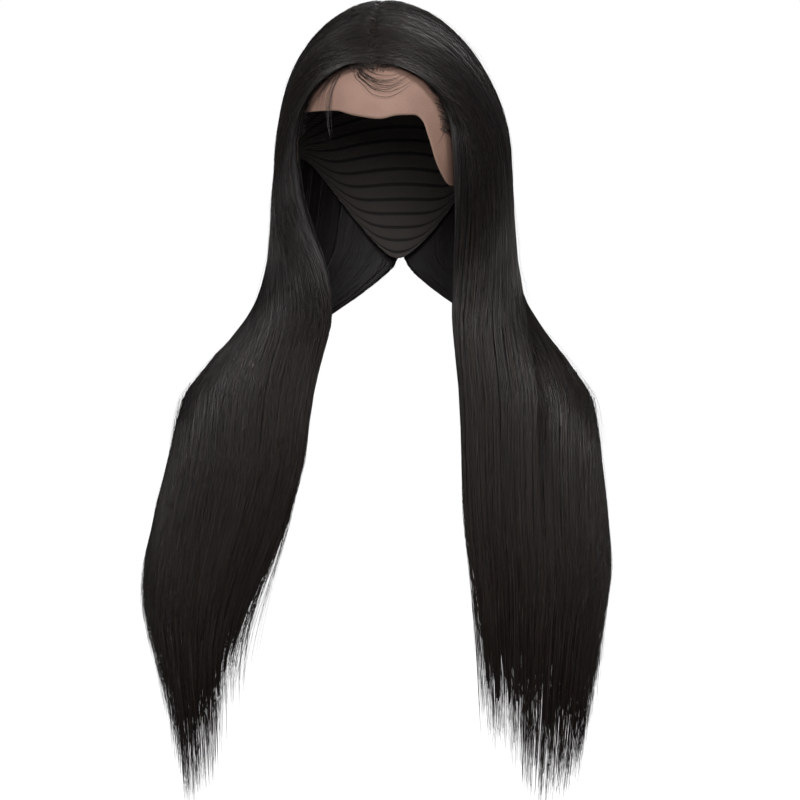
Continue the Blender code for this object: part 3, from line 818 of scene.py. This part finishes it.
babyHairs = {
    "steps": 20, "height": 0.0016, "stray": 0.0008, "lift": 0.0007, "radius": 0.085, "thickness": 0.9,
    # how many hairs, their width in metres, and the two curves that they lie between, in degrees and mm
    "families": (
        # arcs that drop from the hairline and go round to the right
        (9, 0.00052,
         ((-16, 47), (-13, 56), (-6.6, 62.5), (-0.7, 69.5), (8, 72), (18, 66.5), (26, 59), (34, 51)),
         ((-9, 47), (-3, 52.5), (4, 55), (10, 55), (16, 52.5), (21, 49.5))),
        (4, 0.00036,
         ((-14, 48), (-10, 56), (-4, 62), (3, 65), (12, 64)),
         ((-11, 48), (-6, 54.5), (0, 58), (8, 60), (14, 58))),
        # strands at the left with their hooks
        (4, 0.00042,
         ((-22.5, 49), (-24.9, 58), (-26.4, 66), (-26.4, 77), (-26.1, 91),
          (-24.7, 103), (-26.9, 106.5), (-32.7, 101.5), (-41, 99)),
         ((-24.0, 49), (-26.2, 58), (-27.3, 66), (-26.9, 77), (-26.7, 91),
          (-25.2, 102), (-27.4, 104.5), (-33.2, 100), (-38, 98))),
        (3, 0.00034,
         ((-25.0, 52), (-28.2, 62), (-29.4, 73), (-28.9, 84), (-27.2, 94)),
         ((-26.5, 52), (-29.3, 62), (-30.5, 73), (-29.8, 84), (-28.4, 92))),
        (5, 0.00038,
         ((-28.0, 52), (-31.5, 62), (-32.6, 73), (-32.2, 83)),
         ((-31.5, 56), (-36.5, 63), (-39.0, 73), (-39.0, 82))),
        # curl at the right
        (4, 0.00046,
         ((36.5, 55), (40.8, 63), (42.9, 72), (43.2, 80.5), (42.6, 90.6), (39.0, 105), (33.8, 113)),
         ((37.5, 56), (41.3, 64), (43.4, 73), (43.6, 81), (42.4, 91.5), (38.4, 105), (35.1, 111))),
        (2, 0.00034,
         ((33.5, 53), (38.5, 61), (40.8, 72), (40.4, 84), (38.5, 92)),
         ((34.5, 54), (39.8, 63), (41.8, 74), (41.2, 86), (39.5, 93))),
    ),
}


def familyCurve(at, curve):
    # a family's curve at shares of its length, in degrees and metres
    turn, drop = np.array(curve, float).T
    drop = drop / 1000
    metresPerDegree = 0.0014
    stops = np.concatenate([[0], np.cumsum(np.hypot(np.diff(turn) * metresPerDegree, np.diff(drop)))])
    return alongCurve(at, stops / stops[-1], turn), alongCurve(at, stops / stops[-1], drop)


def makeBabyHairs(name):
    # A hair between two curves in (angle, drop) is (1 - f) first + f second, with a slow stray, laid
    # on the cap's form grown by its height.
    s = np.linspace(0, 1, babyHairs["steps"])
    made = []
    for count, width, *pair in babyHairs["families"]:
        ends = rng.random((count, 2)) * np.array([0.1, 0.3])
        at = ends[:, :1] + (1 - ends.sum(1, keepdims=True)) * s
        share = (np.arange(count)[:, None] + 1.6 * each(count) - 0.3) / count
        (turn, drop), (otherTurn, otherDrop) = (familyCurve(at, curve) for curve in pair)
        stray = rng.normal(0, babyHairs["stray"], (2, count, 1)) * np.sin(s * 4 + 6 * each(count))
        angle = np.radians(turn * (1 - share) + otherTurn * share) + stray[0] / babyHairs["radius"]
        drop = drop * (1 - share) + otherDrop * share + stray[1]
        made.append((angle, drop, width * (0.7 + 0.3 * each(count)) * (1 - 0.75 * rising(s, 0.6, 0.4))))
    angles, drops, widths = (np.concatenate(arrays) for arrays in zip(*made))
    direction = rimDirection(angles, drops)
    count = len(direction)
    height = babyHairs["height"] * (0.55 + 0.45 * each(count)) * (0.35 + 0.65 * np.sin(s * 2.6 + 0.3))
    points = capPoint(direction, babyHairs["lift"]) + direction * height[..., None]
    hairs = tubes(points, direction, widths, babyHairs["thickness"])
    return joinTubes(name, [(hairs, 0.1 + 0.4 * np.broadcast_to(s, (count, len(s))), count)])


def rimDirection(azimuth, drop):
    # the direction from the form's middle to a place at this angle from straight ahead and this drop
    rise = (wig["crownRise"] - drop) / np.where(drop > wig["crownRise"], wig["napeRadius"], wig["crownRise"])
    level = np.sqrt(1.0 - rise ** 2)
    return np.stack([level * np.sin(azimuth), -level * np.cos(azimuth), rise], -1)


makeBabyHairs("baby_hairs")
print("baby hairs")


# Cap and lace

lace = {
    "seamAhead": 0.02, "seamTurn": radians(100),
    "drops": (0.08, 0.137),  # the cut edge's in front and at its tabs
    "inset": 0.004, "lift": 0.0004, "wall": 0.0003, "cell": 0.0011, "relief": 0.0002,
    # shade is the darker colour of the random patches and of the painted shade at both sides
    "colour": (0.345, 0.205, 0.158), "shade": (0.265, 0.15, 0.113), "thread": (0.46, 0.32, 0.25),
    "curl": 0.0026, "curlAt": -0.64, "curlWidth": 0.075,
    # the cut edge: place from side to side, degrees from straight ahead, share of the way to the tab's drop
    "cut": ((-1.0, -70, 0.95), (-0.86, -61, 0.8), (-0.76, -57.5, 0.45), (-0.66, -55.5, 0.12),
            (-0.56, -51, 0.0), (-0.28, -24, 0.02), (-0.14, -11, 0.1), (0.06, 4, 0.15),
            (0.18, 14, 0.1), (0.29, 24, 0.09), (0.36, 29, 0.18), (0.45, 32, 0.37),
            (0.66, 39, 0.77), (0.82, 50, 1.0), (1.0, 68, 0.95)),
}
cap = {
    "drops": (0.186, 0.108), "sideAzimuth": radians(72),  # the drops of its nape and its sides
    "inset": 0.0, "lift": 0.0006, "wall": 0.0008, "cell": 0.0016, "relief": 0.0006,
    "colour": (0.026, 0.022, 0.021), "thread": (0.15, 0.132, 0.12),
    "weft": (0.012, 0.01, 0.01), "wefts": 24,
}
sheetGrid = {"rows": 46, "columns": 134}


def seamDirection(across):
    # the seam lies in an upright plane, seamAhead in front of the form's middle
    ahead = lace["seamAhead"] / (wig["capDepth"] / 2)
    level = sqrt(1.0 - ahead ** 2)
    turn = across * lace["seamTurn"]
    return np.stack([level * np.sin(turn), np.full_like(turn, -ahead), level * np.cos(turn)], -1)


def laceEdge(across):
    # the cut edge, a smooth curve through the places listed
    at, azimuth, drop = np.array(lace["cut"], float).T
    share = alongCurve(across, at, drop)
    return rimDirection(np.radians(alongCurve(across, at, azimuth)), between(lace["drops"], share))


def napeRim(across):
    # the cap's lower edge: drop = nape + (side - nape) ease(|x|)
    return rimDirection(pi - across * cap["sideAzimuth"], between(cap["drops"], ease(np.abs(across))))


def makeSheet(name, values, firstEdge, secondEdge, finish):
    # a sheet on the cap's form between two edges, from side to side: (sin((1-s)t) a + sin(st) b) / sin t
    across = np.linspace(-1, 1, sheetGrid["columns"])
    across, share = np.meshgrid(across, np.linspace(0, 1, sheetGrid["rows"]))
    first, second = firstEdge(across), secondEdge(across)
    turn = np.arccos(np.clip((first * second).sum(-1, keepdims=True), -1, 1))
    inset = values["inset"] / turn
    s = inset + share[..., None] * (1 - inset)
    directions = (np.sin((1 - s) * turn) * first + np.sin(s * turn) * second) / np.sin(turn)
    points = capPoint(directions, values["lift"])
    if "curl" in values:  # the cut edge stands off in a small curl at the left
        bow = np.exp(-((across - values["curlAt"]) / values["curlWidth"]) ** 2) * share ** 10
        points = points + directions * (values["curl"] * bow)[..., None]
    rows, columns = share.shape
    corner = np.arange(rows - 1)[:, None] * columns + np.arange(columns - 1)
    quads = np.stack([corner, corner + 1, corner + columns + 1, corner + columns], -1).reshape(-1, 4)
    way = np.cross(points[0, 1] - points[0, 0], points[1, 0] - points[0, 0])
    if way @ (points[0, 0] + np.array([0, 0, wig["crownRise"]])) < 0:
        quads = quads[:, ::-1]
    spots = np.stack([(across + 1) / 2, share], -1).reshape(-1, 2)
    piece = makePiece(name, points.reshape(-1, 3), quads, spots, finish)
    solidify = piece.modifiers.new("wall", "SOLIDIFY")
    solidify.thickness, solidify.offset = values["wall"], 1.0
    down, along = points[1:, :-1] - points[:-1, :-1], points[:-1, 1:] - points[:-1, :-1]
    return piece, float(np.linalg.norm(np.cross(down, along), axis=-1).sum())


def netThreads(finish, cell):
    # 1 on the threads of a square net turned by 45 degrees, 0 in its holes
    x = finish.node("ShaderNodeSeparateXYZ", {}, {0: finish.place()}, "X")
    y, z = (Signal(finish, x.socket.node.outputs[axis]) for axis in ("Y", "Z"))
    run = (x + y * 0.35) * (pi / cell)
    rise = (z + y * 0.8) * (pi / cell)
    return 1 - (run + rise).sine().size() * (run - rise).sine().size()


def laceFinish():
    # warm beige threads with clear holes, darker in random patches, with painted shade towards both sides,
    # paler at the cut
    finish = Finish("sheer lace", Roughness=0.62, IOR=1.4)
    net = netThreads(finish, lace["cell"])
    mottle = finish.noise(finish.place(), 60.0, 3.0)
    across, towardsEdge = finish.onMap()
    cutBand = towardsEdge.remap(0.972, 0.988)
    # painted shade: the lace gets darker towards both sides
    paintedSideShade = (across - 0.5).size().remap(0.04, 0.22)
    colour = finish.mix(mottle.remap(0.35, 0.7) * 0.45 + paintedSideShade * 0.5, lace["colour"], lace["shade"])
    colour = finish.mix(cutBand * 0.35 + net.remap(0.6, 1.0) * 0.3, colour, lace["thread"])
    finish.set(Base_Color=colour, Alpha=net.remap(0.12, 0.45, 0.55, 1.0),
               Normal=finish.bump(net, 0.25, lace["relief"]))
    return finish


def capFinish():
    # a dark net crossed by rows of weft, each |sin(rows pi y)|^10
    finish = Finish("stretch cap net", Roughness=0.75)
    net = netThreads(finish, cap["cell"])
    _, down = finish.onMap()
    weft = (down * (pi * cap["wefts"])).sine().size() ** 10.0
    colour = finish.mix(net.remap(0.35, 0.85), cap["colour"], cap["thread"])
    colour = finish.mix(weft.remap(0.25, 0.75) * 0.85, colour, cap["weft"])
    finish.set(Base_Color=colour, Normal=finish.bump(net * 0.4 + weft, 0.5, cap["relief"]))
    return finish


laceSheet, laceArea = makeSheet("lace_net", lace, seamDirection, laceEdge, laceFinish())
capSheet, capArea = makeSheet("cap_net", cap, seamDirection, napeRim, capFinish())
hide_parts("lace_front")
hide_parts("cap")
print("lace and cap", round(laceArea, 4), round(capArea, 4))


# Camera, light and floor

view = {
    "turn": radians(6.5), "distance": 2.45, "aside": 0.0095, "height": -0.302,
    "lens": 139.5, "sensor": 36.0, "clipEnd": 50.0,
}
lamps = {  # place, target, size and watts
    "key light": ((1.25, -1.15, 1.45), (0.03, 0, -0.12), 0.9, 31),
    "fill light": ((-1.3, -1.25, 1.25), (-0.03, 0, -0.15), 0.9, 22),
    "front light": ((0.3, -2.3, 0.5), (0, 0, -0.3), 1.2, 23),
    "back light": ((0.2, 1.6, 1.1), (0, 0, -0.15), 1.0, 11),
}
studio = {"ambient": 0.12, "backdrop": 1.0, "floorHeight": -0.78, "floorSize": 60.0, "floorGlow": 0.95}

rightWay = np.array([cos(view["turn"]), sin(view["turn"]), 0.0])
backWay = np.array([-sin(view["turn"]), cos(view["turn"]), 0.0])
camera = bpy.data.objects.new("camera", bpy.data.cameras.new("camera"))
camera.data.lens = view["lens"]
camera.data.sensor_width = view["sensor"]
camera.data.clip_end = view["clipEnd"]
camera.location = Vector(-backWay * view["distance"] + rightWay * view["aside"] + [0, 0, view["height"]])
camera.rotation_euler = Vector(backWay).to_track_quat("-Z", "Y").to_euler()
bpy.context.scene.collection.objects.link(camera)
bpy.context.scene.camera = camera

for name, (place, target, size, power) in lamps.items():
    lamp = bpy.data.lights.new(name, "AREA")
    lamp.shape, lamp.size, lamp.energy = "SQUARE", size, power
    holder = bpy.data.objects.new(name, lamp)
    holder.location = place
    holder.rotation_euler = (Vector(target) - Vector(place)).to_track_quat("-Z", "Y").to_euler()
    bpy.context.scene.collection.objects.link(holder)

world = bpy.data.worlds.new("studio")
bpy.context.scene.world = world
world.use_nodes = True
worldTree = world.node_tree
background = worldTree.nodes["Background"]
background.inputs["Color"].default_value = (1.0, 1.0, 1.0, 1.0)
rays = worldTree.nodes.new("ShaderNodeLightPath")
brightness = worldTree.nodes.new("ShaderNodeMapRange")  # the camera sees the backdrop, the hair less of it
brightness.inputs["To Min"].default_value = studio["ambient"]
brightness.inputs["To Max"].default_value = studio["backdrop"]
worldTree.links.new(rays.outputs["Is Camera Ray"], brightness.inputs["Value"])
worldTree.links.new(brightness.outputs[0], background.inputs["Strength"])
bpy.context.scene.view_settings.view_transform = "Standard"

floorFinish = Finish("pale floor", Roughness=0.9, Base_Color=(0.9, 0.9, 0.9), Emission_Color=(1.0, 1.0, 1.0),
                     Emission_Strength=studio["floorGlow"])
bpy.ops.mesh.primitive_plane_add(size=studio["floorSize"], location=(0, 0, studio["floorHeight"]))
floor = bpy.context.object
floor.name = "floor"
floor.visible_diffuse = floor.visible_glossy = False  # its glow lights nothing
floor.data.materials.append(floorFinish.material)

print("camera, light and floor")
